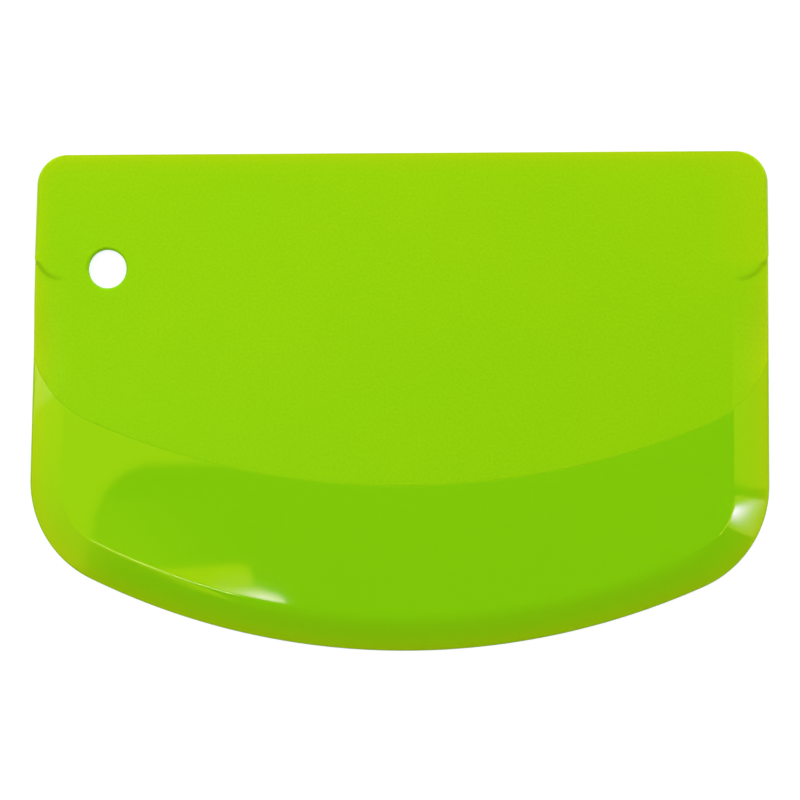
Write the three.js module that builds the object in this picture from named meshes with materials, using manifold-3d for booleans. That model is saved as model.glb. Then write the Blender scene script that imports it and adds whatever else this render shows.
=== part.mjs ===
// Dough scraper: a flat hand scraper, moulded in one piece. Its upper zone is a full-thickness grip bar
// with a hanging hole and a textured panel, and its lower zone is a polished blade with a bevelled,
// bowed edge.
// Millimetres. It lies on its flat back: X across, +Y towards the grip's upper edge, +Z up, and the
// origin is under the middle of its box.

import * as THREE from 'three';
import { mergeVertices, toCreasedNormals } from 'three/addons/utils/BufferGeometryUtils.js';
import Module from 'manifold-3d';

// Driving dimensions: the outline from above
const overallWidth = 148; // across the lower corners, the widest place
const overallDepth = 98.7; // upper edge to the lowest point of the working edge
const sideTaper = 0.7; // how far each upper corner stands inside the lower one
const upperCornerRadius = 6.2;
const lowerCornerRadius = 21.7;
const crownRadius = 146.7; // bow of the working edge

// Driving dimensions: thickness and bevel
const thickness = 2;
const edgeThickness = 0.7; // what the bevel leaves standing at the blade's edge
const bevelWidth = 7;
const bevelCornerRadius = 10.5; // lower corners of the line where the bevel meets the flat

// Driving dimensions: the grip bar and its hanging hole
const gripDepth = 25.2; // the bar's share of the depth, from the upper edge
const gripCornerRadius = 5.6; // the bar's lower corners, which stop the side bevels
const gripProud = 0.15; // how far those corners stand out past the bevelled sides
const holeDiameter = 7.8;
const holeFromSide = 15.1; // hole centre to the left side
const holeFromTop = 23.05; // hole centre to the upper edge

// Driving dimensions: the line between the textured panel and the polished blade
const polishedDepth = 32.6; // lowest point of that line to the lowest point of the working edge
const finishCrownRadius = 158.6; // bow of the line
const finishCornerRadius = 20.7; // where it turns up towards the sides
const finishOverrun = 0.9; // how far its corners aim past the sides, so that it meets them at an angle

// Facets of the round stretches
const crownSteps = 32;
const cornerSteps = 14;
const holeSteps = 48;

// How far a cutting tool reaches past what it cuts
const cutMargin = 5;

// Edges that turn by more than this are shaded as sharp, so that the bevel's crease shows and round
// stretches don't
const creaseAngle = THREE.MathUtils.degToRad(9);

// Materials
const texturedPlastic = new THREE.MeshStandardMaterial({ color: '#96d40d', roughness: 0.55, metalness: 0 });
const polishedPlastic = new THREE.MeshStandardMaterial({ color: '#80c70b', roughness: 0.15, metalness: 0 });

// Outlines: the scraper is the same left and right, so circles are given for the right-hand half

const top = overallDepth / 2;
const bottom = -overallDepth / 2;

// A crown is the big circle whose lowest stretch bows a lower edge
function crownCircle(lowest, r) {
  return { x: 0, y: lowest + r, r };
}

// The line that touches two circles on their outer side, as the angle of its outward normal and its reach:
// a point on it has normal · point = reach
function tangentSide(upper, lower) {
  const run = Math.hypot(lower.x - upper.x, lower.y - upper.y);
  const heading = Math.atan2(lower.y - upper.y, lower.x - upper.x);
  const angle = heading + Math.acos((upper.r - lower.r) / run);
  return { angle, reach: Math.cos(angle) * upper.x + Math.sin(angle) * upper.y + upper.r };
}

function moveSide(side, distance) {
  return { angle: side.angle, reach: side.reach + distance };
}

function sideX(side, y) {
  return (side.reach - Math.sin(side.angle) * y) / Math.cos(side.angle);
}

// The circle of radius r that touches a side from within and runs smoothly into a crown: its centre lies
// r inside the side, on the line x = x0 - slope y, and crown.r - r from the crown's centre
function cornerCircle(side, crown, r) {
  const x0 = (side.reach - r) / Math.cos(side.angle);
  const slope = Math.tan(side.angle);
  const a = 1 + slope * slope;
  const b = -2 * (x0 * slope + crown.y);
  const c = x0 * x0 + crown.y * crown.y - (crown.r - r) ** 2;
  const y = (-b - Math.sqrt(b * b - 4 * a * c)) / (2 * a);
  return { x: x0 - slope * y, y, r };
}

function mirrored(circle) {
  return { ...circle, x: -circle.x };
}

function arcPoints({ x, y, r }, from, to, steps) {
  return new THREE.EllipseCurve(x, y, r, r, from, to).getPoints(steps);
}

function withoutRepeats(points) {
  return points.filter((point, i) => point.distanceTo(points.at(i - 1)) > 1e-6);
}

// Ring of points, counterclockwise: bowed lower edge, round lower corners, straight sides and a square
// upper end
function crownedRing(side, crown, cornerRadius, upperY) {
  const corner = cornerCircle(side, crown, cornerRadius);
  const join = Math.atan2(corner.y - crown.y, corner.x);
  const upperX = sideX(side, upperY);
  return withoutRepeats([
    ...arcPoints(crown, -Math.PI - join, join, crownSteps),
    ...arcPoints(corner, join, side.angle, cornerSteps),
    new THREE.Vector2(upperX, upperY),
    new THREE.Vector2(-upperX, upperY),
    ...arcPoints(mirrored(corner), Math.PI - side.angle, Math.PI - join, cornerSteps),
  ]);
}

// Ring of points, counterclockwise: the grip bar, a rectangle with round corners and nearly straight sides
function barRing(upper, lower) {
  const { angle } = tangentSide(upper, lower);
  return [
    ...arcPoints(lower, -Math.PI / 2, angle, cornerSteps),
    ...arcPoints(upper, angle, Math.PI / 2, cornerSteps),
    ...arcPoints(mirrored(upper), Math.PI / 2, Math.PI - angle, cornerSteps),
    ...arcPoints(mirrored(lower), Math.PI - angle, (3 * Math.PI) / 2, cornerSteps),
  ];
}

const plateCrown = crownCircle(bottom, crownRadius);
const lowerCornerX = overallWidth / 2 - lowerCornerRadius;
const lowerCorner = {
  x: lowerCornerX,
  y: plateCrown.y - Math.sqrt((crownRadius - lowerCornerRadius) ** 2 - lowerCornerX ** 2),
  r: lowerCornerRadius,
};
const upperCorner = {
  x: overallWidth / 2 - sideTaper - upperCornerRadius,
  y: top - upperCornerRadius,
  r: upperCornerRadius,
};
const plateSide = tangentSide(upperCorner, lowerCorner);

// Solids

const wasm = await Module();
wasm.setup();

function solidFrom(geometry) {
  geometry.deleteAttribute('normal');
  geometry.deleteAttribute('uv');
  const merged = mergeVertices(geometry);
  const vertProperties = new Float32Array(merged.attributes.position.array);
  const triVerts = new Uint32Array(merged.index.array);
  return new wasm.Manifold(new wasm.Mesh({ numProp: 3, vertProperties, triVerts }));
}

function prism(ring, zLow, zHigh) {
  const shape = new THREE.Shape(ring);
  const geometry = new THREE.ExtrudeGeometry(shape, { depth: zHigh - zLow, bevelEnabled: false });
  return solidFrom(geometry.translate(0, 0, zLow));
}

// A solid with straight walls from ring to ring and flat ends; levels are [ring, z] from the lowest up, and
// their rings have equally many points
function loft(levels) {
  const count = levels[0][0].length;
  const positions = levels.flatMap(([ring, z]) => ring.flatMap(({ x, y }) => [x, y, z]));
  const last = (levels.length - 1) * count;
  const floor = THREE.ShapeUtils.triangulateShape(levels[0][0], []).flatMap(([a, b, c]) => [a, c, b]);
  const lid = THREE.ShapeUtils.triangulateShape(levels.at(-1)[0], []).flat().map((i) => last + i);
  const walls = levels.slice(1).flatMap((_, level) =>
    levels[0][0].flatMap((_point, i) => {
      const low = level * count + i;
      const lowNext = level * count + ((i + 1) % count);
      return [low, lowNext, lowNext + count, low, lowNext + count, low + count];
    }),
  );
  const geometry = new THREE.BufferGeometry();
  geometry.setAttribute('position', new THREE.Float32BufferAttribute(positions, 3));
  geometry.setIndex([...floor, ...lid, ...walls]);
  return solidFrom(geometry);
}

// Plate with the bevel round its sides and its working edge; its upper end is inside the grip bar
function bevelledPlate() {
  const upperEnd = top - gripDepth / 2;
  const outline = crownedRing(plateSide, plateCrown, lowerCornerRadius, upperEnd);
  const flatCrown = crownCircle(bottom + bevelWidth, crownRadius - bevelWidth);
  const flat = crownedRing(moveSide(plateSide, -bevelWidth), flatCrown, bevelCornerRadius, upperEnd);
  return loft([[outline, 0], [outline, edgeThickness], [flat, thickness]]);
}

// Bar of full thickness along the upper edge; its round lower corners end the side bevels in a small step
function gripBar() {
  const lowerY = top - gripDepth + gripCornerRadius;
  const lowerX = sideX(plateSide, lowerY) + gripProud - gripCornerRadius;
  return prism(barRing(upperCorner, { x: lowerX, y: lowerY, r: gripCornerRadius }), 0, thickness);
}

function hangingHole() {
  const y = top - holeFromTop;
  const x = -sideX(plateSide, y) + holeFromSide;
  const length = thickness + 2 * cutMargin;
  const cylinder = new THREE.CylinderGeometry(holeDiameter / 2, holeDiameter / 2, length, holeSteps);
  return solidFrom(cylinder.rotateX(Math.PI / 2).translate(x, y, thickness / 2));
}

// Everything above the line where the texture ends
function texturedZone() {
  const finishCrown = crownCircle(bottom + polishedDepth, finishCrownRadius);
  const side = moveSide(plateSide, finishOverrun);
  const ring = crownedRing(side, finishCrown, finishCornerRadius, top + cutMargin);
  return prism(ring, -cutMargin, thickness + cutMargin);
}

function meshFrom(name, solid, material) {
  const { vertProperties, triVerts } = solid.getMesh();
  const geometry = new THREE.BufferGeometry();
  geometry.setAttribute('position', new THREE.BufferAttribute(vertProperties, 3));
  geometry.setIndex(new THREE.BufferAttribute(triVerts, 1));
  const mesh = new THREE.Mesh(toCreasedNormals(geometry, creaseAngle), material);
  mesh.name = name;
  return mesh;
}

const moulding = bevelledPlate().add(gripBar()).subtract(hangingHole());
const zone = texturedZone();

const scraper = new THREE.Group();
scraper.name = 'dough_scraper';
scraper.add(meshFrom('grip', moulding.intersect(zone), texturedPlastic));
scraper.add(meshFrom('blade', moulding.subtract(zone), polishedPlastic));

export default scraper;
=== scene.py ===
"""Looks of a dough scraper: one lime-green polypropylene moulding that lies on its flat back.

The mould gave it two finishes. The grip zone is spark-eroded to a fine matte grain, and the blade
below a bowed line is polished. Both skins are grids of points worked out with numpy from the same
few circles and lines, in millimetres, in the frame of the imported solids.
"""

from __future__ import annotations

import logging
import math
from dataclasses import dataclass
from enum import Enum
from functools import cached_property

import bmesh
import bpy
import numpy as np
from mathutils import Matrix, Vector

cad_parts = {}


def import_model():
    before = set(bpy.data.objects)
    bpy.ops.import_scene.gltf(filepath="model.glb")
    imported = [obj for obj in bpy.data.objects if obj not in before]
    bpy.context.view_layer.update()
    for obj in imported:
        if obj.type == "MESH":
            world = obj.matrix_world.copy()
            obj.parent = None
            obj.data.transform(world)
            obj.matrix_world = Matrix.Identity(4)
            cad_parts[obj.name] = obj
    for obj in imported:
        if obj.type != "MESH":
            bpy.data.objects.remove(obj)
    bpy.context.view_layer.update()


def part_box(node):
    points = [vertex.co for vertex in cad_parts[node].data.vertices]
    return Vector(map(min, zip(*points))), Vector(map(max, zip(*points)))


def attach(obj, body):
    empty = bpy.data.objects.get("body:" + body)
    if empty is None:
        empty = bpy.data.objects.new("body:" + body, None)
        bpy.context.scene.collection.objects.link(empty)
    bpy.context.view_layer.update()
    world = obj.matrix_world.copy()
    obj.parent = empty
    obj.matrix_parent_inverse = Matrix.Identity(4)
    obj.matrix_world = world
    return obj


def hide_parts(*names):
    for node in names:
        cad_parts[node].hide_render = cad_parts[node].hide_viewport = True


LOG = logging.getLogger("dough_scraper")

MM = 0.001
# Vertex attribute of painted light: how far the colour turns lighter and yellower at rims
RIM_ATTRIBUTE = "painted_rim_light"
LIGHT_ATTRIBUTE = "light"

Pair = tuple[float, float]
Triple = tuple[float, float, float]
Rgba = tuple[float, float, float, float]
Tree = bpy.types.NodeTree
Socket = bpy.types.NodeSocket
Columns = dict[str, np.ndarray]
# Outer points of some columns, their inward directions, and wall points with theirs
Stretch = tuple[np.ndarray, np.ndarray, np.ndarray, np.ndarray]


# Colours and shader nodes


def linear(hex_colour: str) -> Rgba:
    """Turns an sRGB hex colour into linear RGBA.

    Args:
        hex_colour: six hex digits after a hash sign.

    Returns:
        The linear red, green and blue, and an alpha of one.
    """
    srgb = np.array([int(hex_colour[i : i + 2], 16) for i in (1, 3, 5)]) / 255.0
    rgb = np.where(srgb <= 0.04045, srgb / 12.92, ((srgb + 0.055) / 1.055) ** 2.4)
    return (*rgb.tolist(), 1.0)


def add_node(tree: Tree, kind: str, inputs: dict | None = None, **settings: object) -> bpy.types.Node:
    """Adds a node to a tree with its settings and its links.

    Args:
        tree: the node tree of a material or of the world.
        kind: the node's type name, without the prefix that all shader nodes share.
        inputs: what goes into each input, by name or number; a socket is linked, a value is set.
        settings: attributes of the node itself.

    Returns:
        The new node.
    """
    node = tree.nodes.new("ShaderNode" + kind)
    for key, value in settings.items():
        setattr(node, key, value)
    for key, value in (inputs or {}).items():
        if isinstance(value, Socket):
            tree.links.new(value, node.inputs[key])
        else:
            node.inputs[key].default_value = value
    return node


def new_material(name: str) -> tuple[bpy.types.Material, Tree]:
    """Makes a material with an empty node tree.

    Args:
        name: the material's name.

    Returns:
        The material and its node tree.
    """
    material = bpy.data.materials.new(name)
    material.use_nodes = True
    material.node_tree.nodes.clear()
    return material, material.node_tree


# Finishes


@dataclass(frozen=True)
class Pattern:
    """A noise pattern: the real size of its patches in millimetres, and its detail."""

    mm: float
    detail: float


@dataclass(frozen=True)
class MouldedPolypropylene:
    """Lime-green polypropylene as it comes out of a mould.

    To the eye the colour drifts a little in patches, the way that the melt ran. Its rims carry
    painted light: they are drawn lighter and yellower where light comes through thin plastic and
    where edges catch it. What the mould face leaves is in the haze and the relief.
    """

    name: str
    colour: str
    flow_colour: str
    rim_light_colour: str
    specular_tint: Rgba
    roughness: Pair
    flow: Pattern
    haze: Pattern
    relief: Pattern
    relief_depth_mm: float
    ior: float = 1.49

    def drift(self, tree: Tree, place: Socket, flow: Socket) -> Socket:
        """Share of the flow colour: the flow pattern itself."""
        return flow

    def shaded(self, tree: Tree, colour: Socket, relief: Socket) -> Socket:
        """Colour with the relief's painted shade in it: none on a smooth face."""
        return colour

    def material(self) -> bpy.types.Material:
        """Builds the material: haze in roughness, relief in bump, and rims yellowed by painted light.

        The colour runs from the body's to the flow's with the drift, and from there to the painted
        rim light with the rim's glow. A pattern that two of the three share is drawn once.

        Returns:
            The material.
        """
        material, tree = new_material(self.name)
        place = add_node(tree, "TexCoord").outputs["Object"]
        noise = {
            pattern: add_node(
                tree,
                "TexNoise",
                {"Vector": place, "Scale": 1.0 / (pattern.mm * MM), "Detail": pattern.detail},
            ).outputs["Fac"]
            for pattern in dict.fromkeys((self.flow, self.haze, self.relief))
        }
        drift = self.drift(tree, place, noise[self.flow])
        # Painted light: rims and thin plastic are drawn in a lighter, yellower colour
        rim = add_node(tree, "Attribute", attribute_name=RIM_ATTRIBUTE).outputs["Fac"]
        colour = linear(self.colour)
        for share, next_colour in ((drift, self.flow_colour), (rim, self.rim_light_colour)):
            mix = {0: share, 6: colour, 7: linear(next_colour)}
            colour = add_node(tree, "Mix", mix, data_type="RGBA").outputs[2]
        low, high = self.roughness
        roughness = add_node(
            tree, "MapRange", {"Value": noise[self.haze], "To Min": low, "To Max": high}
        )
        bump = add_node(
            tree,
            "Bump",
            {
                "Strength": 1.0,
                "Distance": self.relief_depth_mm * MM,
                "Height": noise[self.relief],
            },
        )
        shader = add_node(
            tree,
            "BsdfPrincipled",
            {
                "Base Color": self.shaded(tree, colour, noise[self.relief]),
                "Roughness": roughness.outputs["Result"],
                "IOR": self.ior,
                "Specular Tint": self.specular_tint,
                "Normal": bump.outputs["Normal"],
            },
        )
        add_node(tree, "OutputMaterial", {"Surface": shader.outputs["BSDF"]})
        return material


@dataclass(frozen=True)
class SparkErodedPolypropylene(MouldedPolypropylene):
    """Lime-green polypropylene from a spark-eroded mould face.

    To the eye it is an even, chalky green with a fine grain that breaks every reflection up, a
    little lighter than the polished face because it scatters the studio light at all angles.
    """

    name: str = "spark_eroded_polypropylene"
    colour: str = "#7dc906"
    flow_colour: str = "#88ca06"
    # Painted light: colour of rims and thin plastic, lighter and yellower than the body
    rim_light_colour: str = "#a2ca08"
    specular_tint: Rgba = (1.0, 0.84, 0.02, 1.0)
    roughness: Pair = (0.30, 0.36)
    flow: Pattern = Pattern(mm=28.0, detail=2.0)
    # Real erosion pits are about 0.05 mm wide; they are drawn coarser so that the grain shows
    haze: Pattern = Pattern(mm=0.5, detail=3.0)
    relief: Pattern = Pattern(mm=0.5, detail=3.0)
    relief_depth_mm: float = 0.03
    # Painted shade and light: the colour swings darker in the pits of the grain and lighter on its
    # peaks
    pit_shade_contrast: float = 0.2
    # A run of colour from corner to corner: yellower towards the upper right
    run_mm: float = 150.0
    run_heading: Triple = (0.8, 0.6, 0.0)

    def drift(self, tree: Tree, place: Socket, flow: Socket) -> Socket:
        """Adds a run from corner to corner, rising towards the upper right, to the flow pattern.

        Args:
            tree: the material's node tree.
            place: the place on the scraper.
            flow: the flow pattern.

        Returns:
            The share of the flow colour.
        """
        heading = tuple(part / (self.run_mm * MM) for part in self.run_heading)
        run = add_node(tree, "VectorMath", {0: place, 1: heading}, operation="DOT_PRODUCT")
        both = {0: run.outputs["Value"], 1: flow}
        return add_node(tree, "Math", both, operation="ADD", use_clamp=True).outputs[0]

    def shaded(self, tree: Tree, colour: Socket, relief: Socket) -> Socket:
        """Multiplies the colour by a painted shade about one, darker in the pits of the grain, where
        shadow falls.

        Args:
            tree: the material's node tree.
            colour: the colour of a smooth face.
            relief: the grain.

        Returns:
            The shaded colour.
        """
        swing = self.pit_shade_contrast / 2.0
        shade = add_node(
            tree, "MapRange", {"Value": relief, "To Min": 1.0 - swing, "To Max": 1.0 + swing}
        )
        both = {0: 1.0, 6: colour, 7: shade.outputs["Result"]}
        return add_node(tree, "Mix", both, data_type="RGBA", blend_type="MULTIPLY").outputs[2]


@dataclass(frozen=True)
class PolishedPolypropylene(MouldedPolypropylene):
    """The same lime-green polypropylene from a polished mould face.

    To the eye it is deeper and wetter than the grained zone: softboxes show in it with soft edges
    that wander a little, because a thin moulding cools with shallow ripples.
    """

    name: str = "polished_polypropylene"
    colour: str = "#7ec709"
    flow_colour: str = "#80c909"
    # Painted light: colour of rims and thin plastic, lighter and yellower than the body
    rim_light_colour: str = "#94c20a"
    specular_tint: Rgba = (1.0, 0.75, 0.04, 1.0)
    roughness: Pair = (0.02, 0.035)
    flow: Pattern = Pattern(mm=34.0, detail=2.0)
    haze: Pattern = Pattern(mm=1.6, detail=4.0)
    relief: Pattern = Pattern(mm=26.0, detail=1.0)
    relief_depth_mm: float = 0.012


@dataclass(frozen=True)
class StudioPaper:
    """White paper, lifted to white where the camera or a reflection sees it."""

    name: str
    reflectance: float
    lift: float
    front_glow: float
    back_glow: float

    def material(self) -> bpy.types.Material:
        """Builds the material: a diffuse share that takes shadow and a share that stays white.

        Camera, glossy and transmission rays see the lift. What the paper throws on the scraper
        rises from the front glow to the back glow with the square of the way along Y.

        Returns:
            The material.
        """
        material, tree = new_material(self.name)
        path = add_node(tree, "LightPath").outputs
        where = add_node(tree, "TexCoord").outputs["Generated"]
        way = add_node(tree, "SeparateXYZ", {0: where}).outputs["Y"]
        square = add_node(tree, "Math", {0: way, 1: 2.0}, operation="POWER").outputs[0]
        glow = add_node(
            tree,
            "MapRange",
            {"Value": square, "To Min": self.front_glow, "To Max": self.back_glow},
        )
        seen = path["Is Camera Ray"]
        for ray in ("Is Glossy Ray", "Is Transmission Ray"):
            seen = add_node(tree, "Math", {0: seen, 1: path[ray]}, operation="MAXIMUM").outputs[0]
        choice = {0: seen, 2: glow.outputs["Result"], 3: self.lift}
        strength = add_node(tree, "Mix", choice, data_type="FLOAT").outputs[0]
        grey = (self.reflectance, self.reflectance, self.reflectance, 1.0)
        paper = add_node(tree, "BsdfDiffuse", {"Color": grey}).outputs["BSDF"]
        light = add_node(tree, "Emission", {"Strength": strength}).outputs["Emission"]
        both = add_node(tree, "AddShader", {0: paper, 1: light})
        add_node(tree, "OutputMaterial", {"Surface": both.outputs["Shader"]})
        return material


@dataclass(frozen=True)
class LitCloth:
    """White cloth with lamps behind it: each of its points gives off the light that it carries."""

    name: str = "lit_white_cloth"

    def material(self) -> bpy.types.Material:
        """Builds the material: an emission whose colour is the cloth's own attribute.

        Returns:
            The material.
        """
        material, tree = new_material(self.name)
        light = add_node(tree, "Attribute", attribute_name=LIGHT_ATTRIBUTE).outputs["Vector"]
        glow = add_node(tree, "Emission", {"Color": light}).outputs["Emission"]
        add_node(tree, "OutputMaterial", {"Surface": glow})
        return material


# Plan of the scraper

# Heading of a circle's lowest point
LOWEST = -math.pi / 2.0


def smooth_step(values: np.ndarray, start: float, end: float) -> np.ndarray:
    """Rises from nought at the start to one at the end, level at both."""
    share = np.clip((values - start) / (end - start), 0.0, 1.0)
    return share * share * (3.0 - 2.0 * share)


@dataclass(frozen=True)
class Circle:
    """A circle seen from above, in millimetres."""

    x: float
    y: float
    r: float

    @property
    def centre(self) -> np.ndarray:
        """The centre as an array of two numbers."""
        return np.array((self.x, self.y))

    def arc(self, start: float, end: float, count: int) -> np.ndarray:
        """Points of the circle at even angles.

        Args:
            start: first angle in radians.
            end: last angle in radians.
            count: number of points.

        Returns:
            An array of count points.
        """
        angle = np.linspace(start, end, count)
        return self.centre + self.r * np.column_stack((np.cos(angle), np.sin(angle)))

    def inward(self, points: np.ndarray) -> np.ndarray:
        """Unit vectors from each point to the centre."""
        towards = self.centre - points
        return towards / np.linalg.norm(towards, axis=1, keepdims=True)

    def join_with(self, crown: Circle) -> float:
        """Angle at which this corner runs smoothly into a crown that holds it."""
        return math.atan2(self.y - crown.y, self.x - crown.x)

    def run_into(
        self, corner: Circle, end: float, counts: tuple[int, int]
    ) -> tuple[np.ndarray, np.ndarray]:
        """Points from the lowest place of this crown along it, and then round a corner.

        Args:
            corner: the corner, which runs smoothly into this crown.
            end: last angle on the corner.
            counts: number of points on the crown and on the corner, with the join in both.

        Returns:
            The points, and their unit vectors to the centres of their circles.
        """
        join = corner.join_with(self)
        bow = self.arc(LOWEST, join, counts[0])
        turn = corner.arc(join, end, counts[1])[1:]
        return np.concatenate((bow, turn)), np.concatenate((self.inward(bow), corner.inward(turn)))


@dataclass(frozen=True)
class Side:
    """A straight right-hand side: the points whose dot product with its normal is its reach."""

    angle: float
    reach: float

    @classmethod
    def touching(cls, upper: Circle, lower: Circle) -> Side:
        """The line that touches two circles on their outer side.

        Args:
            upper: the circle at the upper end.
            lower: the circle at the lower end.

        Returns:
            The side. Its normal is turned from the line of centres by the arc cosine of the
            difference of the radii over the distance of the centres.
        """
        run = math.hypot(lower.x - upper.x, lower.y - upper.y)
        heading = math.atan2(lower.y - upper.y, lower.x - upper.x)
        angle = heading + math.acos((upper.r - lower.r) / run)
        reach = math.cos(angle) * upper.x + math.sin(angle) * upper.y + upper.r
        return cls(angle, reach)

    @property
    def normal(self) -> np.ndarray:
        """The outward unit normal."""
        return np.array((math.cos(self.angle), math.sin(self.angle)))

    def moved(self, distance: float) -> Side:
        """The same side moved outwards by a distance."""
        return Side(self.angle, self.reach + distance)

    def x_at(self, y: np.ndarray | float) -> np.ndarray | float:
        """Place across of the side at a height in the plan."""
        return (self.reach - math.sin(self.angle) * y) / math.cos(self.angle)

    def at(self, y: np.ndarray) -> np.ndarray:
        """Points of the side at the given heights in the plan."""
        return np.column_stack((self.x_at(y), y))

    def directions(self, count: int) -> np.ndarray:
        """The inward unit normal, once for each of so many columns."""
        return np.tile(-self.normal, (count, 1))

    def inset(self, points: np.ndarray) -> np.ndarray:
        """How far points of either half lie inside the side or its mirror image."""
        return self.reach - np.abs(points[..., 0]) * self.normal[0] - points[..., 1] * self.normal[1]

    def corner(self, crown: Circle, r: float) -> Circle:
        """The circle that touches this side from within and runs smoothly into a crown.

        Args:
            crown: the big circle of the bowed lower edge.
            r: radius of the corner.

        Returns:
            The corner. Its centre lies r inside the side and the difference of the radii away
            from the crown's centre, which is a quadratic equation for its height in the plan.
        """
        start = (self.reach - r) / math.cos(self.angle)
        slope = math.tan(self.angle)
        a = 1.0 + slope * slope
        b = -2.0 * (start * slope + crown.y)
        c = start * start + crown.y * crown.y - (crown.r - r) ** 2
        y = (-b - math.sqrt(b * b - 4.0 * a * c)) / (2.0 * a)
        return Circle(start - slope * y, y, r)

    def lower_crossing(self, circle: Circle) -> float:
        """Angle on a circle of its lower crossing with this side."""
        gap = self.reach - float(self.normal @ circle.centre)
        return self.angle - math.acos(gap / circle.r)


@dataclass
class ScraperPlan:
    """Sizes of the moulding in millimetres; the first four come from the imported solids."""

    width: float
    depth: float
    thickness: float
    polished_depth: float

    # Outline
    side_taper: float = 0.7
    upper_corner_radius: float = 6.2
    lower_corner_radius: float = 21.7
    crown_radius: float = 146.7

    # Bevel, with its run-out below the grip bar, its creases and the bow of its lower stretch
    edge_thickness: float = 0.7
    bevel_width: float = 7.0
    bevel_corner_radius: float = 10.5
    runout_share: float = 0.4
    runout_length: float = 15.5
    side_crease: float = 0.35
    crown_crease: float = 0.22
    bow_width: float = 5.6
    bow_crease: float = 0.9
    crown_bow: float = 0.75
    bow_left: Pair = (-60.0, -20.0)
    bow_right: Pair = (66.0, 57.0)

    # Rounded rims of the front and the back
    rim_radius: float = 0.3
    back_rim_radius: float = 0.15

    # Grip bar
    grip_depth: float = 25.55
    grip_corner_radius: float = 5.6
    grip_proud: float = 0.1
    grip_fillet: float = 0.9

    # Hanging hole
    hole_diameter: float = 7.8
    hole_from_side: float = 15.1
    hole_from_top: float = 23.05
    hole_fillet: float = 0.55
    hole_lip: float = 0.05
    hole_flare: float = 0.35

    # Line where the grain ends, and the witness line that the mould left along it
    finish_crown_radius: float = 158.6
    finish_corner_radius: float = 20.7
    finish_overrun: float = 0.9
    witness_width: float = 0.09
    witness_depth: float = 0.04

    # Painted light: lighter, yellower colour of edges and of thin plastic, for light that comes through
    # and catches them
    glow_reach: float = 1.4
    edge_glow: float = 0.95
    thin_glow: float = 0.5

    @classmethod
    def from_frame(cls) -> ScraperPlan:
        """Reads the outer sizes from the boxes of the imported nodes.

        Returns:
            The plan with its other sizes at their drawn values.
        """
        grip_low, grip_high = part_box("grip")
        blade_low, blade_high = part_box("blade")
        return cls(
            width=round(2.0 * blade_high[0] / MM, 1),
            depth=round((grip_high[1] - blade_low[1]) / MM, 2),
            thickness=round(grip_high[2] / MM, 3),
            polished_depth=round((grip_low[1] - blade_low[1]) / MM, 2),
        )

    @property
    def top(self) -> float:
        """Height of the upper edge in the plan."""
        return self.depth / 2.0

    @property
    def bottom(self) -> float:
        """Height of the lowest point of the working edge in the plan."""
        return -self.depth / 2.0

    @property
    def bar_bottom(self) -> float:
        """Height of the grip bar's lower end in the plan."""
        return self.top - self.grip_depth

    @property
    def flat_inset(self) -> float:
        """How far inside the outline the flat of the plate begins along the sides."""
        return self.bevel_width + 2.0 * self.side_crease

    @cached_property
    def crown(self) -> Circle:
        """Bow of the working edge."""
        return Circle(0.0, self.bottom + self.crown_radius, self.crown_radius)

    @cached_property
    def lower_corner(self) -> Circle:
        """Round lower corner, which runs smoothly into the crown."""
        x = self.width / 2.0 - self.lower_corner_radius
        rise = math.sqrt((self.crown_radius - self.lower_corner_radius) ** 2 - x * x)
        return Circle(x, self.crown.y - rise, self.lower_corner_radius)

    @cached_property
    def upper_corner(self) -> Circle:
        """Round upper corner of the grip bar."""
        r = self.upper_corner_radius
        return Circle(self.width / 2.0 - self.side_taper - r, self.top - r, r)

    @cached_property
    def side(self) -> Side:
        """Straight side of the plate."""
        return Side.touching(self.upper_corner, self.lower_corner)

    @cached_property
    def flat_side(self) -> Side:
        """Side line of the flat."""
        return self.side.moved(-self.flat_inset)

    @cached_property
    def flat_crown(self) -> Circle:
        """Bow of the flat's lower end."""
        return Circle(0.0, self.crown.y, self.crown_radius - self.flat_inset)

    @cached_property
    def flat_corner(self) -> Circle:
        """Lower corner of the flat."""
        return self.flat_side.corner(self.flat_crown, self.bevel_corner_radius - self.side_crease)

    @cached_property
    def bar_corner(self) -> Circle:
        """Round lower corner of the grip bar, which stands a little proud of the side."""
        y = self.bar_bottom + self.grip_corner_radius
        x = self.side.x_at(y) + self.grip_proud - self.grip_corner_radius
        return Circle(x, y, self.grip_corner_radius)

    @cached_property
    def bar_side(self) -> Side:
        """Straight side of the grip bar."""
        return Side.touching(self.upper_corner, self.bar_corner)

    @cached_property
    def hole(self) -> Circle:
        """Hanging hole."""
        y = self.top - self.hole_from_top
        x = self.hole_from_side - self.side.x_at(y)
        return Circle(x, y, self.hole_diameter / 2.0)

    @cached_property
    def finish_crown(self) -> Circle:
        """Bow of the line where the grain ends."""
        lowest = self.bottom + self.polished_depth
        return Circle(0.0, lowest + self.finish_crown_radius, self.finish_crown_radius)

    @cached_property
    def finish_corner(self) -> Circle:
        """Corner of the line where the grain ends; it aims a little past the side."""
        aim = self.side.moved(self.finish_overrun)
        return aim.corner(self.finish_crown, self.finish_corner_radius)

    @cached_property
    def tip_angle(self) -> float:
        """Angle on the finish corner where the line meets the outline."""
        return self.side.lower_crossing(self.finish_corner)

    @cached_property
    def crossing_angle(self) -> float:
        """Angle on the finish corner where the line comes off the flat onto the bevel."""
        return self.flat_side.lower_crossing(self.finish_corner)

    def bevel_share(self, y: np.ndarray) -> np.ndarray:
        """Share of the bevel's full depth at a height in the plan: it runs out towards the bar."""
        full = smooth_step(y, self.bar_bottom, self.bar_bottom - self.runout_length)
        return self.runout_share + (1.0 - self.runout_share) * full

    def bow(self, x: np.ndarray) -> np.ndarray:
        """Weight of the bowed bevel by the place across: full on the crown, nought at the corners."""
        return self.crown_bow * smooth_step(x, *self.bow_left) * smooth_step(x, *self.bow_right)

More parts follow.
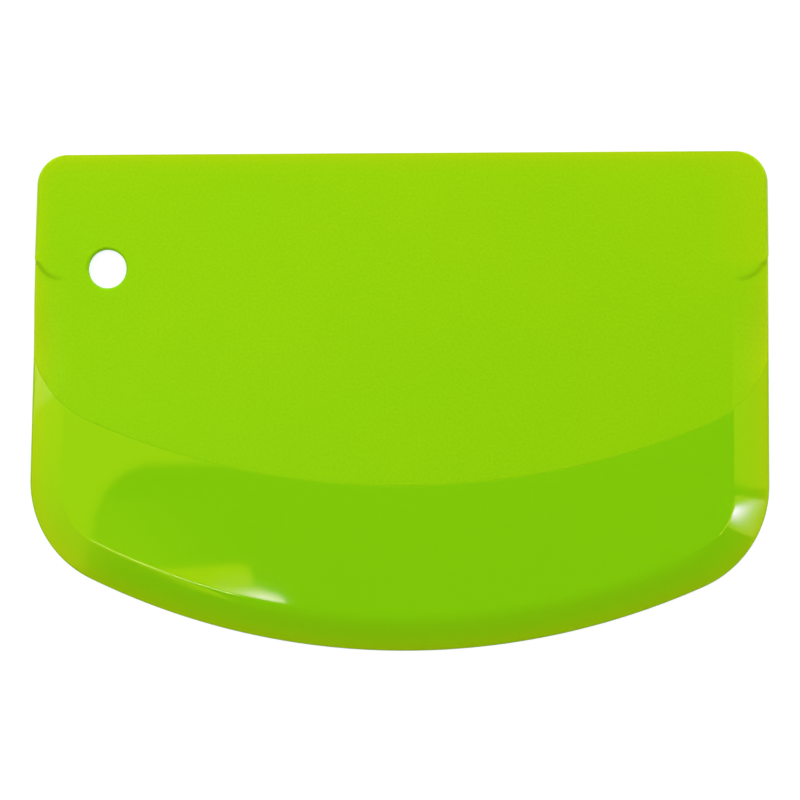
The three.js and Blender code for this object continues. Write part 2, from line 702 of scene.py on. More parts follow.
    def bevel_drop(self, inset: np.ndarray, width: float, crease: np.ndarray | float) -> np.ndarray:
        """Depth of a bevel below the flat, by the distance from the outline.

        A straight bevel falls from the flat to the edge. A cubic blends the crease between them:
        it leaves the bevel one crease length before the corner that it rounds off and reaches the
        flat two lengths after it.

        Args:
            inset: distances from the outline.
            width: width of the bevel.
            crease: crease length, for all points or for each column.

        Returns:
            The depths.
        """
        slope = (self.thickness - self.edge_thickness) / width
        past = inset - width
        left = np.clip((2.0 * crease - past) / (3.0 * crease), 0.0, 1.0)
        return np.where(past < -crease, -slope * past, slope * crease * left**3)

    def front_height(
        self,
        inset: np.ndarray,
        crease: np.ndarray | float,
        share: np.ndarray | float = 1.0,
        bow: np.ndarray | float = 0.0,
    ) -> np.ndarray:
        """Height of the front face over the back, by the distance from the outline.

        The bevel is a mean of one with a tight crease and one with a wide, soft crease, which
        bows it. The sharp rim is replaced by a quarter circle.

        Args:
            inset: distances from the outline.
            crease: length of the tight crease, for all points or for each column.
            share: share of the bevel's full depth, for all points or for each of them.
            bow: weight of the bevel with the soft crease, for all points or for each column.

        Returns:
            The heights.
        """
        tight = self.bevel_drop(inset, self.bevel_width, crease)
        soft = self.bevel_drop(inset, self.bow_width, self.bow_crease)
        short = np.clip(self.rim_radius - inset, 0.0, self.rim_radius)
        rim = self.rim_radius - np.sqrt(self.rim_radius**2 - short**2)
        return self.thickness - share * (tight + (soft - tight) * bow) - rim

    def witness(self, points: np.ndarray, line: np.ndarray) -> np.ndarray:
        """Falls from one at each column's point of the finish line to nought a witness width off."""
        gap = np.linalg.norm(points - line[:, None, :], axis=2)
        return np.clip(1.0 - gap / self.witness_width, 0.0, 1.0)

    def edge_inset(self, points: np.ndarray) -> np.ndarray:
        """Distance of plan points from the outline.

        Args:
            points: an array of plan points.

        Returns:
            The least of the distances from the sides, the upper edge and the crown, or from the
            round corners where a point is in a corner's quadrant.
        """
        inset = np.minimum(self.side.inset(points), self.top - points[:, 1])
        inset = np.minimum(inset, self.crown.r - np.linalg.norm(points - self.crown.centre, axis=1))
        folded = np.column_stack((np.abs(points[:, 0]), points[:, 1]))
        lower = folded - self.lower_corner.centre
        upper = folded - self.upper_corner.centre
        steep = math.tan(self.lower_corner.join_with(self.crown))
        in_lower = (lower[:, 0] > 0.0) & (lower[:, 1] < 0.0) & (lower[:, 1] > steep * lower[:, 0])
        in_upper = (upper > 0.0).all(axis=1)
        inset = np.where(in_lower, self.lower_corner.r - np.linalg.norm(lower, axis=1), inset)
        return np.where(in_upper, self.upper_corner.r - np.linalg.norm(upper, axis=1), inset)

    def painted_rim_light(self, points: np.ndarray) -> np.ndarray:
        """How far the plastic's colour turns to its painted rim light colour.

        This is painted light: thin plastic lets light through and edges catch it, so the colour is
        drawn lighter and yellower where the bevel thins the plate, and along every edge, fading
        inwards over the glow's reach.

        Args:
            points: vertices in millimetres.

        Returns:
            A share from nought to one for each vertex.
        """
        inset = np.maximum(self.edge_inset(points[:, :2]), 0.0)
        bevelled = points[:, 1] < self.bar_bottom
        height = self.front_height(inset, self.side_crease, self.bevel_share(points[:, 1]))
        local = np.where(bevelled, height, self.thickness)
        thin = (self.thickness - local) / (self.thickness - self.edge_thickness)
        glow = self.edge_glow * np.exp(-inset / self.glow_reach) + self.thin_glow * thin
        return np.clip(glow, 0.0, 1.0)


# Grids of points


def between(start: np.ndarray, end: np.ndarray, share: np.ndarray) -> np.ndarray:
    """Points on the straight lines between two rows of points.

    Args:
        start: first points, one for each column.
        end: last points, one for each column.
        share: shares of the way, one list for all columns or one for each.

    Returns:
        An array of columns by shares by two.
    """
    share = np.broadcast_to(share, (len(start), np.shape(share)[-1]))
    return start[:, None, :] + share[:, :, None] * (end - start)[:, None, :]


def raised(plan: np.ndarray, height: np.ndarray | float) -> np.ndarray:
    """Adds heights to an array of plan points."""
    height = np.broadcast_to(height, plan.shape[:2])
    return np.concatenate((plan, height[:, :, None]), axis=2)


def whole(half: np.ndarray, closed: bool) -> np.ndarray:
    """Joins a right-hand half, which starts on the middle line, to its mirror image.

    Args:
        half: values of the half's columns; rows of two numbers are plan points or directions.
        closed: whether the half's last column is on the middle line too.

    Returns:
        The values of all columns, counterclockwise. A closed ring starts at the first column of
        the half. An open strip runs from the mirror image of its last column to the last column.
    """
    image = half[::-1].copy()
    if half.ndim == 2:
        image[:, 0] *= -1.0
    if closed:
        return np.concatenate((half, image[1:-1]))
    return np.concatenate((image[:-1], half))


def path_share(points: np.ndarray) -> np.ndarray:
    """Share of a path's length at each of its points.

    Args:
        points: the path's points.

    Returns:
        Shares from nought to one.
    """
    step = np.linalg.norm(np.diff(points, axis=0), axis=1)
    run = np.concatenate(((0.0,), np.cumsum(step)))
    return run / run[-1]


def points_at(where: np.ndarray, knots: np.ndarray, path: np.ndarray) -> np.ndarray:
    """Points of a path at the given places, on the straight lines between its knots."""
    return np.column_stack([np.interp(where, knots, path[:, axis]) for axis in (0, 1)])


def new_object(
    name: str, points: np.ndarray, faces: list[list[int]], material: bpy.types.Material
) -> bpy.types.Object:
    """Makes a mesh object at the origin.

    Args:
        name: the object's name.
        points: its vertices in metres.
        faces: the vertices of each face.
        material: its material.

    Returns:
        The object, in the scene.
    """
    mesh = bpy.data.meshes.new(name)
    mesh.from_pydata(points.tolist(), [], faces)
    mesh.materials.append(material)
    made = bpy.data.objects.new(name, mesh)
    bpy.context.scene.collection.objects.link(made)
    return made


# Skins of the moulding

# Quarter turn of a rounded edge, as angles
ROUND = np.radians(np.array((0.0, 22.5, 45.0, 67.5, 90.0)))
# Rows over the head of the grip bar's wall, as shares of the way up it
HEAD_ROWS = np.linspace(0.0, 1.0, 13)
# Rows over the bevel, as shares of the way from the outline to the flat
BEVEL_ROWS = np.array(
    (0.0, 0.002, 0.008, 0.018, 0.03, 0.042, 0.08, 0.16, 0.28, 0.4, 0.5, 0.58, 0.64, 0.7, 0.76)
    + (0.81, 0.84, 0.868, 0.89, 0.912, 0.934, 0.956, 0.978, 1.0)
)
# Points closer than this, in millimetres, are merged
MERGE_MM = 5e-4
# Shortest length, in millimetres, of which a share is taken
LEAST_MM = 1e-6
# Edges that turn by more than this are shaded as sharp
SHARP_ANGLE = math.radians(40.0)


class Zone(Enum):
    """The two finish zones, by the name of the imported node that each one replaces."""

    GRIP = "grip"
    BLADE = "blade"

    @property
    def slot(self) -> str:
        """A name for this zone's material slot; nothing in this script gives a slot this name."""
        return "textured_plastic" if self is Zone.GRIP else "polished_plastic"


@dataclass
class Moulding:
    """Closed skin of a finish zone: a profile, closed on itself, carried along columns."""

    plan: ScraperPlan
    name: str
    zone: Zone
    # Whether the last column joins the first one
    ring: bool

    def grid(self) -> np.ndarray:
        """Points of the skin, columns by rows by three, in millimetres."""
        raise NotImplementedError

    def back_rim(
        self, edge: np.ndarray, inward: np.ndarray, share: np.ndarray
    ) -> tuple[np.ndarray, np.ndarray]:
        """Rows up the rounded back rim, a quarter circle.

        Args:
            edge: point of the outline for each column.
            inward: direction from it into the plate.
            share: share of the rim's full radius for each column.

        Returns:
            The foot of the rim on the back, and the rows from there to the outline.
        """
        radius = self.plan.back_rim_radius * share[:, None]
        foot = edge + inward * radius
        rim = between(edge, foot, 1.0 - np.sin(ROUND))
        return foot, raised(rim, radius * (1.0 - np.cos(ROUND)))

    def skin(self, material: bpy.types.Material) -> bpy.types.Object:
        """Makes a closed, smooth object from the grid.

        Each point is joined to its neighbours by quads. Points that fall together, at the tips and
        where a row has no width, are merged, and the faces are then turned outwards.

        Args:
            material: the zone's finish.

        Returns:
            The object, in the scene.
        """
        grid = self.grid()
        columns, rows = grid.shape[:2]
        index = np.arange(columns * rows).reshape(columns, rows)
        ahead = np.roll(index, -1, axis=0)
        if not self.ring:
            index, ahead = index[:-1], ahead[:-1]
        above, above_ahead = np.roll(index, -1, axis=1), np.roll(ahead, -1, axis=1)
        quads = np.stack((index, ahead, above_ahead, above), axis=-1).reshape(-1, 4)
        skin = new_object(self.name, grid.reshape(-1, 3) * MM, quads.tolist(), material)
        mesh = skin.data
        shell = bmesh.new()
        shell.from_mesh(mesh)
        bmesh.ops.remove_doubles(shell, verts=shell.verts, dist=MERGE_MM * MM)
        bmesh.ops.recalc_face_normals(shell, faces=shell.faces)
        shell.to_mesh(mesh)
        shell.free()
        points = np.empty(3 * len(mesh.vertices))
        mesh.vertices.foreach_get("co", points)
        # Painted light at the rims and on thin plastic, stored on each vertex
        glow = self.plan.painted_rim_light(points.reshape(-1, 3) / MM)
        mesh.attributes.new(RIM_ATTRIBUTE, "FLOAT", "POINT").data.foreach_set("value", glow)
        mesh.shade_smooth()
        mesh.set_sharp_from_angle(angle=SHARP_ANGLE)
        return skin

    def build(self, material: bpy.types.Material) -> None:
        """Makes the dressed skin and puts it in the place of its node.

        Args:
            material: the zone's finish.
        """
        skin = self.skin(material)
        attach(skin, "root")
        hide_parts(self.zone.value)
        LOG.info("%s: %d faces for node %s", skin.name, len(skin.data.polygons), self.zone.value)


@dataclass
class BladeMoulding(Moulding):
    """Polished blade: a bevelled edge profile carried along the outline from tip to tip."""

    name: str = "polished_blade"
    zone: Zone = Zone.BLADE
    ring: bool = False

    # Columns of each stretch of the right-hand half, and knots along the finish line's two circles
    crown_columns: int = 96
    corner_columns: int = 44
    side_columns: int = 22
    tip_columns: int = 44
    line_knots: tuple[int, int] = (600, 300)

    # Rows over the flat, and rows over the back as shares of the way
    flat_rows: int = 20
    back_rows: tuple[float, ...] = (0.0, 0.05, 0.35, 0.65, 0.95)

    # Length over which the rim tapers off at the tips, and lead of the flat's rows, in millimetres
    tip_taper: float = 0.5
    lead: float = 0.15

    # Most of the way that the lead and the witness line take, and the room before it in its widths
    most_lead: float = 0.05
    most_tail: float = 0.2
    tail_room: float = 1.6

    def columns(self) -> Columns:
        """Works out the plan points of each column, from the left tip to the right one.

        The outline and the flat's border run crown, corner, side, with equally many points on
        each stretch. The finish line is shared out along its length as the flat's border is.
        Near the tips it lies on the bevel, and the column ends there.

        Returns:
            edge points with their inward directions, flat points and finish points, the inset at
            which the bevel ends, the crease length and the weight of the bowed bevel.
        """
        plan = self.plan
        counts = (self.crown_columns, self.corner_columns)
        curve, curve_inward = plan.crown.run_into(plan.lower_corner, plan.side.angle, counts)
        flat_curve, _ = plan.flat_crown.run_into(plan.flat_corner, plan.side.angle, counts)
        tip_line = plan.finish_corner.arc(plan.crossing_angle, plan.tip_angle, self.tip_columns)
        rise, flat_rise = (
            np.linspace(line[-1, 1], tip_line[0, 1], self.side_columns)[1:]
            for line in (curve, flat_curve)
        )
        side = plan.side.at(np.concatenate((rise, tip_line[1:, 1])))
        border = np.concatenate((flat_curve, plan.flat_side.at(flat_rise)))
        flat = np.concatenate((border, tip_line[1:]))
        end = np.minimum(plan.side.inset(flat), plan.flat_inset)
        end[: len(border)] = plan.flat_inset
        end[-1] = 0.0
        turn = smooth_step(np.arange(len(flat)), self.crown_columns, sum(counts))
        half = {
            "edge": np.concatenate((curve, side)),
            "inward": np.concatenate((curve_inward, plan.side.directions(len(side)))),
            "flat": flat,
            "finish": np.concatenate((self.finish_points(border), tip_line[1:])),
            "end": end,
            "crease": plan.crown_crease + (plan.side_crease - plan.crown_crease) * turn,
        }
        place = {key: whole(values, False) for key, values in half.items()}
        place["bow"] = plan.bow(place["edge"][:, 0])
        return place

    def finish_points(self, border: np.ndarray) -> np.ndarray:
        """Shares the finish line out along its length as the flat's border is shared out.

        Args:
            border: points of the flat's border from the middle to the crossing.

        Returns:
            As many points of the finish line, from its middle to the crossing.
        """
        plan = self.plan
        line, _ = plan.finish_crown.run_into(plan.finish_corner, plan.crossing_angle, self.line_knots)
        points = points_at(path_share(border), path_share(line), line)
        points[-1] = line[-1]
        return points

    def panel_rows(self, length: np.ndarray) -> np.ndarray:
        """Shares of the way over the flat at which its rows lie.

        They start a short lead after the crease and grow apart with the square of the row, up to
        a little before the witness line, which has the last two rows.

        Args:
            length: the way over the flat for each column.

        Returns:
            An array of columns by rows.
        """
        length = np.maximum(length, LEAST_MM)[:, None]
        lead = np.minimum(self.lead / length, self.most_lead)
        tail = np.minimum(self.plan.witness_width / length, self.most_tail)
        last = 1.0 - self.tail_room * tail
        steps = np.linspace(0.0, 1.0, self.flat_rows) ** 2
        return np.concatenate((lead + (last - lead) * steps, 1.0 - tail, np.ones_like(lead)), axis=1)

    def grid(self) -> np.ndarray:
        """Carries the profile along the outline.

        The rows run up the rounded rim, over the bevel and the crease, along the flat, over the
        witness line, down the joint with the grip and back along the flat back.

        Returns:
            Columns by rows by three, in millimetres.
        """
        plan = self.plan
        place = self.columns()
        edge, flat, finish = place["edge"], place["flat"], place["finish"]
        end, crease, bow = (place[key][:, None] for key in ("end", "crease", "bow"))
        room = np.clip(place["end"] / self.tip_taper, 0.0, 1.0)
        notch = plan.witness_depth * room[:, None]
        foot, rim = self.back_rim(edge, place["inward"], room)
        bevel = between(edge, flat, BEVEL_ROWS)
        bevel_height = plan.front_height(end * BEVEL_ROWS, crease, bow=bow)
        bevel_height = bevel_height - notch * plan.witness(bevel, finish)
        panel = between(flat, finish, self.panel_rows(np.linalg.norm(finish - flat, axis=1)))
        inset = plan.flat_inset + np.linalg.norm(panel - flat[:, None, :], axis=2)
        panel_height = plan.front_height(inset, crease, bow=bow)
        panel_height = panel_height - notch * plan.witness(panel, finish)
        panel_height = np.where(end < plan.flat_inset, bevel_height[:, -1:], panel_height)
        back = between(finish, foot, np.array(self.back_rows))
        return np.concatenate(
            (rim, raised(bevel, bevel_height), raised(panel, panel_height), raised(back, 0.0)), axis=1
        )


@dataclass
class GripMoulding(Moulding):
    """Textured grip: an edge profile carried round the zone's border and fanned in to the hole."""

    name: str = "textured_grip"
    zone: Zone = Zone.GRIP
    ring: bool = True

    # Columns of each stretch of the right-hand half
    finish_columns: tuple[int, int] = (100, 20)
    tip_columns: int = 40
    flank_columns: int = 18
    straight_columns: int = 14
    horn_columns: int = 56
    side_columns: int = 10
    corner_columns: int = 26
    top_columns: int = 40

    # Rows over the flat and down the hole, and rows over the back as shares of the way
    flat_rows: int = 12
    bore_rows: int = 3
    back_rows: tuple[float, ...] = (0.05, 0.3, 0.6, 0.95)

    # Horn-shaped steps: how far below the bar they start, how wide they are, and where they fade
    horn_lead: float = 2.5
    horn_width: float = 1.5
    horn_end: float = 0.78

    # Share of the wall that its fillet may take
    fillet_share: float = 0.6

    # Length over which the rim tapers off at the tips, lead of the flat's rows, and its most
    tip_taper: float = 0.6
    lead: float = 0.15
    most_lead: float = 0.1

    def columns(self) -> Columns:
        """Works out the plan points of each column, counterclockwise from the lowest point.

        The border runs along the finish line, up over the bevel to its tip, up the bevelled
        flank, round the bar's lower corner, up its side and round its upper corner to the middle
        of the upper edge. The bar's wall stands on the border, apart from the lower corner, where
        it crosses the bevel and leaves the small horn-shaped step.

        Returns:
            outer points, their inward directions, wall points with theirs, and for each column
            its share of the witness line's depth, how far its back rim is rounded, how far its
            bevel runs out, up to the bar's side, and how far it belongs to a horn, which fades
            towards its outer end.
        """
        plan = self.plan
        stretches = (
            self.finish_stretch(),
            self.tip_stretch(),
            self.flank_stretch(),
            self.horn_stretch(),
            self.bar_stretch(),
        )
        keys = ("outer", "outer_inward", "wall", "wall_inward")
        half = {key: np.concatenate(parts) for key, parts in zip(keys, zip(*stretches))}
        finish, tip, flank, horn, _ = (len(stretch[0]) for stretch in stretches)
        outer = half["outer"]
        column = np.arange(len(outer))
        joint = column < finish + tip
        taper = np.clip(plan.side.inset(outer) / self.tip_taper, 0.0, 1.0)
        above = np.clip((outer[:, 1] - outer[finish + tip - 1, 1]) / self.tip_taper, 0.0, 1.0)
        into_horn = column - finish - tip - flank
        fade = smooth_step(into_horn / horn, 1.0, self.horn_end)
        half["notch"] = np.where(joint, taper, 0.0)
        half["rounding"] = np.where(joint, 0.0, above)
        half["runout"] = smooth_step(into_horn - horn, self.side_columns, 0.0)
        half["horn"] = np.where(into_horn < 0, 0.0, fade)
        return {key: whole(values, True) for key, values in half.items()}

    def finish_stretch(self) -> Stretch:
        """Columns along the finish line on the flat, from the middle to the crossing.

        Returns:
            Outer points and directions; the wall's are the same.
        """
        plan = self.plan
        points, inward = plan.finish_crown.run_into(
            plan.finish_corner, plan.crossing_angle, self.finish_columns
        )
        return points, inward, points, inward

    def tip_stretch(self) -> Stretch:
        """Columns along the finish line on the bevel, from the crossing to the tip.

        Returns:
            Outer points and directions, and wall points along the flat's border.
        """
        plan = self.plan
        points = plan.finish_corner.arc(plan.crossing_angle, plan.tip_angle, self.tip_columns)[1:]
        inward = plan.finish_corner.inward(points)
        return points, inward, plan.flat_side.at(points[:, 1]), inward

    def flank_stretch(self) -> Stretch:
        """Columns across the bevelled flank, from above the tip to just below the bar.

        Returns:
            Outer points and directions, and wall points along the flat's border.
        """
        plan = self.plan
        tip_y = plan.finish_corner.y + plan.finish_corner.r * math.sin(plan.tip_angle)
        low = np.linspace(tip_y, plan.bar_bottom - self.horn_lead, self.flank_columns)[1:]
        high = np.linspace(tip_y, plan.bar_bottom, self.flank_columns)[1:]
        inward = plan.side.directions(len(low))
        return plan.side.at(low), inward, plan.flat_side.at(high), inward

    def horn_stretch(self) -> Stretch:
        """Columns from the flank's outline to the bar's lower corner, which crosses the bevel.

        Returns:
            Outer points and directions up the outline, and wall points and directions along the
            bar's lower end and round its corner.
        """
        plan = self.plan
        corner = plan.bar_corner
        start = plan.flat_side.x_at(plan.bar_bottom)
        run = np.linspace(start, corner.x, self.straight_columns)[:-1]
        straight = np.column_stack((run, np.full(len(run), plan.bar_bottom)))
        curve = corner.arc(LOWEST, plan.side.lower_crossing(corner), self.horn_columns)
        path = np.concatenate((straight, curve))
        up = np.tile(np.array((0.0, 1.0)), (len(straight), 1))
        inward = np.concatenate((up, corner.inward(curve)))
        lowest = plan.bar_bottom - self.horn_lead
        outer = plan.side.at(lowest + path_share(path)[1:] * (curve[-1, 1] - lowest))
        outer[-1] = curve[-1]
        return outer, plan.side.directions(len(outer)), path[1:], inward[1:]

    def bar_stretch(self) -> Stretch:
        """Columns round the bar, from where its corner leaves the plate to the upper middle.

        Returns:
            Outer points and directions; the wall's are the same.
        """
        plan = self.plan
        meet = plan.side.lower_crossing(plan.bar_corner)
        tilt = plan.bar_side.angle
        lower = plan.bar_corner.arc(meet, tilt, self.side_columns)[1:]
        upper = plan.upper_corner.arc(tilt, math.pi / 2.0, self.corner_columns)
        side = plan.bar_side.at(np.linspace(lower[-1, 1], upper[0, 1], self.side_columns)[1:-1])
        run = np.linspace(upper[-1, 0], 0.0, self.top_columns)[1:]
        edge = np.column_stack((run, np.full(len(run), plan.top)))
        points = np.concatenate((lower, side, upper, edge))
        inward = np.concatenate(
            (
                plan.bar_corner.inward(lower),
                plan.bar_side.directions(len(side)),
                plan.upper_corner.inward(upper),
                np.tile(np.array((0.0, -1.0)), (len(edge), 1)),
            )
        )
        return points, inward, points, inward

    def grid(self) -> np.ndarray:
        """Carries the profile round the border.

        The rows run up the rounded back rim and the outer wall, over the bevel to the bar's wall,
        up that wall and its fillet, along the flat to the hole, down through the hole and back
        along the flat back.

        Returns:
            Columns by rows by three, in millimetres.
        """
        plan = self.plan
        place = self.columns()
        outer, wall = place["outer"], place["wall"]
        notch = plan.witness_depth * place["notch"][:, None]
        foot, rim = self.back_rim(outer, place["outer_inward"], place["rounding"])
        slope = between(outer, wall, BEVEL_ROWS)
        inset = np.maximum(plan.side.inset(slope), 0.0)
        share = 1.0 - (1.0 - plan.bevel_share(slope[:, :, 1])) * place["runout"][:, None]
        slope_height = plan.front_height(inset, plan.side_crease, share)
        slope_height = slope_height - notch * plan.witness(slope, outer)
        on_flat = (plan.side.inset(outer) >= plan.flat_inset)[:, None]
        slope_height = np.where(on_flat, plan.thickness - notch, slope_height)
        head = self.heads(slope_height[:, -1], place)
        crest = wall + place["wall_inward"] * head["width"]
        fillet = between(wall, crest, head["run"])
        fillet_height = plan.thickness - head["height"] * (1.0 - head["rise"])
        radial = crest - plan.hole.centre
        radial = radial / np.linalg.norm(radial, axis=1, keepdims=True)
        mouth = plan.hole.centre + radial * (plan.hole.r - plan.hole_lip + plan.hole_fillet)
        length = np.linalg.norm(mouth - crest, axis=1)[:, None]
        lead = np.minimum(self.lead / length, self.most_lead)
        steps = np.linspace(0.0, 1.0, self.flat_rows)
        panel = between(crest, mouth, lead + (1.0 - 2.0 * lead) * steps)
        bore, bore_height = self.bore(radial)
        back = between(bore[:, -1], foot, np.array(self.back_rows))
        return np.concatenate(
            (
                rim,
                raised(slope, slope_height),
                raised(fillet, fillet_height),
                raised(panel, plan.thickness),
                raised(bore, bore_height),
                raised(back, 0.0),
            ),
            axis=1,
        )

    def heads(self, foot_height: np.ndarray, place: Columns) -> Columns:
        """Shapes the head of each column's wall.

        Along the bar it is a quarter circle. Along the horns it is a soft ramp from the bevel up
        to the flat, whose slope swells and fades as share times (1 - share) squared. Along the
        joint it is the witness line.

        Args:
            foot_height: height of the wall's foot.
            place: the columns.

        Returns:
            The head's width and height, and the shares of both that its rows have run and risen.
        """
        plan = self.plan
        rise = plan.thickness - foot_height
        bar = np.minimum(plan.grip_fillet, self.fillet_share * rise)
        horn, joint = place["horn"], place["notch"] > 0.0
        width = bar + (self.horn_width - bar) * horn
        height = bar + (rise - bar) * horn
        step = HEAD_ROWS[None, :]
        arc_run, arc_rise = 1.0 - np.cos(step * math.pi / 2.0), np.sin(step * math.pi / 2.0)
        ramp = step**2 * (6.0 - 8.0 * step + 3.0 * step**2)
        return {
            "width": np.where(joint, plan.witness_width * rise / plan.witness_depth, width)[:, None],
            "height": np.where(joint, rise, height)[:, None],
            "run": arc_run + (step - arc_run) * horn[:, None],
            "rise": arc_rise + (ramp - arc_rise) * horn[:, None],
        }

    def bore(self, radial: np.ndarray) -> tuple[np.ndarray, np.ndarray]:
        """Rows down the hanging hole: a rounded mouth to the lip, then a flare to the back.

        Args:
            radial: unit direction of each column from the hole's centre.

        Returns:
            Plan points and heights of the rows.
        """
        plan = self.plan
        down = np.linspace(0.0, 1.0, self.bore_rows + 1)[1:]
        mouth = plan.hole_fillet * (1.0 - np.sin(ROUND))
        reach = plan.hole.r - plan.hole_lip + np.concatenate((mouth, plan.hole_flare * down))
        neck = plan.thickness - plan.hole_fillet
        mouth_height = neck + plan.hole_fillet * np.cos(ROUND)
        height = np.concatenate((mouth_height, neck * (1.0 - down)))
        points = plan.hole.centre + radial[:, None, :] * reach[None, :, None]
        return points, height[None, :]


# Studio


def lit_cloth(name: str, plan: np.ndarray, height: float, light: np.ndarray) -> None:
    """Hangs a sheet of lit white cloth over the scraper, hidden from the camera.

    Args:
        name: the object's name.
        plan: its points seen from above, columns by rows by two, in metres.
        height: its height over the floor.
        light: red, green and blue light that each point gives off, where one is white.
    """
    points = raised(plan, height).reshape(-1, 3)
    index = np.arange(len(points)).reshape(plan.shape[:2])
    quads = np.stack((index[:-1, :-1], index[:-1, 1:], index[1:, 1:], index[1:, :-1]), axis=-1)
    cloth = new_object(name, points, quads.reshape(-1, 4).tolist(), LitCloth().material())
    carried = cloth.data.attributes.new(LIGHT_ATTRIBUTE, "FLOAT_VECTOR", "POINT")
    carried.data.foreach_set("vector", light.ravel())
    cloth.visible_camera = False


@dataclass(frozen=True)
class Bell:
    """A bell-shaped hill seen from above; place and half widths in metres, turn in degrees."""

    place: Pair = (0.0, 0.0)
    size: Pair = (1.0, 1.0)
    turn: float = 0.0

    def over(self, plan: np.ndarray) -> np.ndarray:
        """Height of the hill, which is e to the minus square of the distance in half widths.

        Args:
            plan: points seen from above, columns by rows by two.

        Returns:
            A height from nought to one for each point.
        """
        tilt = math.radians(self.turn)
        axes = np.array(((math.cos(tilt), math.sin(tilt)), (-math.sin(tilt), math.cos(tilt))))
        away = (plan - np.array(self.place)) @ axes.T / np.array(self.size)
        return np.exp(-(away**2).sum(axis=2))


@dataclass(frozen=True)
class Softbox:
    """A lamp behind white cloth, an oblong with cut corners; in metres, its turn in degrees."""

    name: str
    centre: Pair
    half_size: Pair
    cut: float
    light: Triple
    turn: float = 0.0
    core: Bell = Bell()
    core_light: Triple = (0.0, 0.0, 0.0)
    height: float = 0.999
    columns: int = 193
    rows: int = 25

    def build(self) -> None:
        """Hangs the lamp.

        Along each heading the rim is where the first of three limits is met: half the width, half
        the length, or the sum of both less the cut at a corner. Its light is even, with a
        bell-shaped core where the bulb is.
        """
        wide, long = self.half_size
        angle = np.linspace(0.0, 2.0 * math.pi, self.columns)
        along, across = np.abs(np.cos(angle)), np.abs(np.sin(angle))
        flat = np.maximum(along / wide, across / long)
        reach = 1.0 / np.maximum(flat, (along + across) / (wide + long - self.cut))
        heading = angle + math.radians(self.turn)
        rim = reach[:, None] * np.column_stack((np.cos(heading), np.sin(heading)))
        middle = np.tile(np.array(self.centre), (self.columns, 1))
        plan = between(middle, middle + rim, np.linspace(0.0, 1.0, self.rows))
        core = self.core.over(plan)[:, :, None] * np.array(self.core_light)
        lit_cloth(self.name, plan, self.height, np.array(self.light) + core)


@dataclass(frozen=True)
class LightTent:
    """Lit white cloth over the scraper, open in front and over the camera; sizes in metres.

    Places are given for the left half. The right half is its mirror image, apart from a narrower
    gap, a place a little further forward and a bell-shaped patch where its light is dimmed.
    """

    height: float = 1.0
    light: Triple = (2.9, 2.8, 1.3)

    # Middle line, left side, front ends of the inner and of the outer border, and back
    middle: float = 0.085
    left: float = -0.9
    front: float = -0.36
    left_front: float = -0.60
    back: float = 0.6

    # Gap in front, with a round corner and a soft border, and the slot over the camera behind it
    gap_left: float = -0.301
    gap_back: float = 0.002
    gap_round: Pair = (0.030, 0.034)
    gap_fade: float = 0.005
    slot_left: float = -0.15
    slot_back: float = 0.15
    slot_slant: float = 0.02

    # What sets the right half apart
    gap_right: float = 0.446
    right_forward: float = 0.003
    fold: Bell = Bell((0.72, 0.15), (0.25, 0.25))
    fold_shade: float = 0.85

    # Share of the first stretch over which the light comes in, knots along the outer side and along
    # the outer back, and columns of each stretch between two knots
    front_fade: float = 0.2
    corner_knots: int = 5
    columns: int = 40
    rows: int = 36

    def border(self, gap: float) -> tuple[np.ndarray, np.ndarray]:
        """Inner and outer border of the left half, point by point, from its front corner on.

        The inner border runs back along the gap's side, round its corner, to the slot over the
        camera and round that to the middle line. A straight thread joins each of its points to the
        outer border, which runs along the side and the back.

        Args:
            gap: where the gap's side is.

        Returns:
            The inner and the outer points.
        """
        wide, deep = self.gap_round
        start = self.gap_back - deep
        turn = np.linspace(math.pi, math.pi / 2.0, 2 * self.corner_knots - 1)
        corner = np.column_stack((gap + wide + wide * np.cos(turn), start + deep * np.sin(turn)))
        slot = np.array(
            (
                (self.slot_left - self.slot_slant, self.gap_back),
                (self.slot_left + self.slot_slant, self.slot_back),
                (self.middle, self.slot_back),
            )
        )
        inner = np.concatenate((((gap, self.front),), corner, slot))
        side_y = np.append(self.left_front, np.linspace(start, self.back, self.corner_knots))
        back_x = np.append(np.linspace(self.left, gap + wide, self.corner_knots)[1:], slot[:, 0])
        side = np.column_stack((np.full(len(side_y), self.left), side_y))
        outer = np.concatenate((side, np.column_stack((back_x, np.full(len(back_x), self.back)))))
        knots = np.arange(len(inner))
        where = np.linspace(0.0, knots[-1], knots[-1] * self.columns + 1)
        return points_at(where, knots, inner), points_at(where, knots, outer)

    def half(self, gap: float) -> tuple[np.ndarray, np.ndarray]:
        """Grid of straight threads between the borders of a half, and the share of light at each point.

        The points of a thread draw together towards the gap, as the cube of the row. The light fades
        out close to the gap and at the front end.

        Args:
            gap: where the gap's side is.

        Returns:
            The points seen from above and the shares.
        """
        inner, outer = self.border(gap)
        plan = between(inner, outer, np.linspace(0.0, 1.0, self.rows) ** 3)
        from_gap = np.linalg.norm(plan - inner[:, None, :], axis=2) / self.gap_fade
        from_front = np.arange(len(inner))[:, None] / (self.columns * self.front_fade)
        share = np.clip(from_gap, 0.0, 1.0) * np.clip(from_front, 0.0, 1.0)
        return plan, smooth_step(share, 0.0, 1.0)

    def build(self) -> None:
        """Hangs both halves."""
        light = np.array(self.light)
        plan, share = self.half(self.gap_left)
        lit_cloth("light_tent_left", plan, self.height, share[:, :, None] * light)
        plan, share = self.half(2.0 * self.middle - self.gap_right)
        plan = np.array((2.0 * self.middle, -self.right_forward)) + plan * np.array((-1.0, 1.0))
        share = share * (1.0 - self.fold_shade * self.fold.over(plan))
        lit_cloth("light_tent_right", plan, self.height, share[:, :, None] * light)


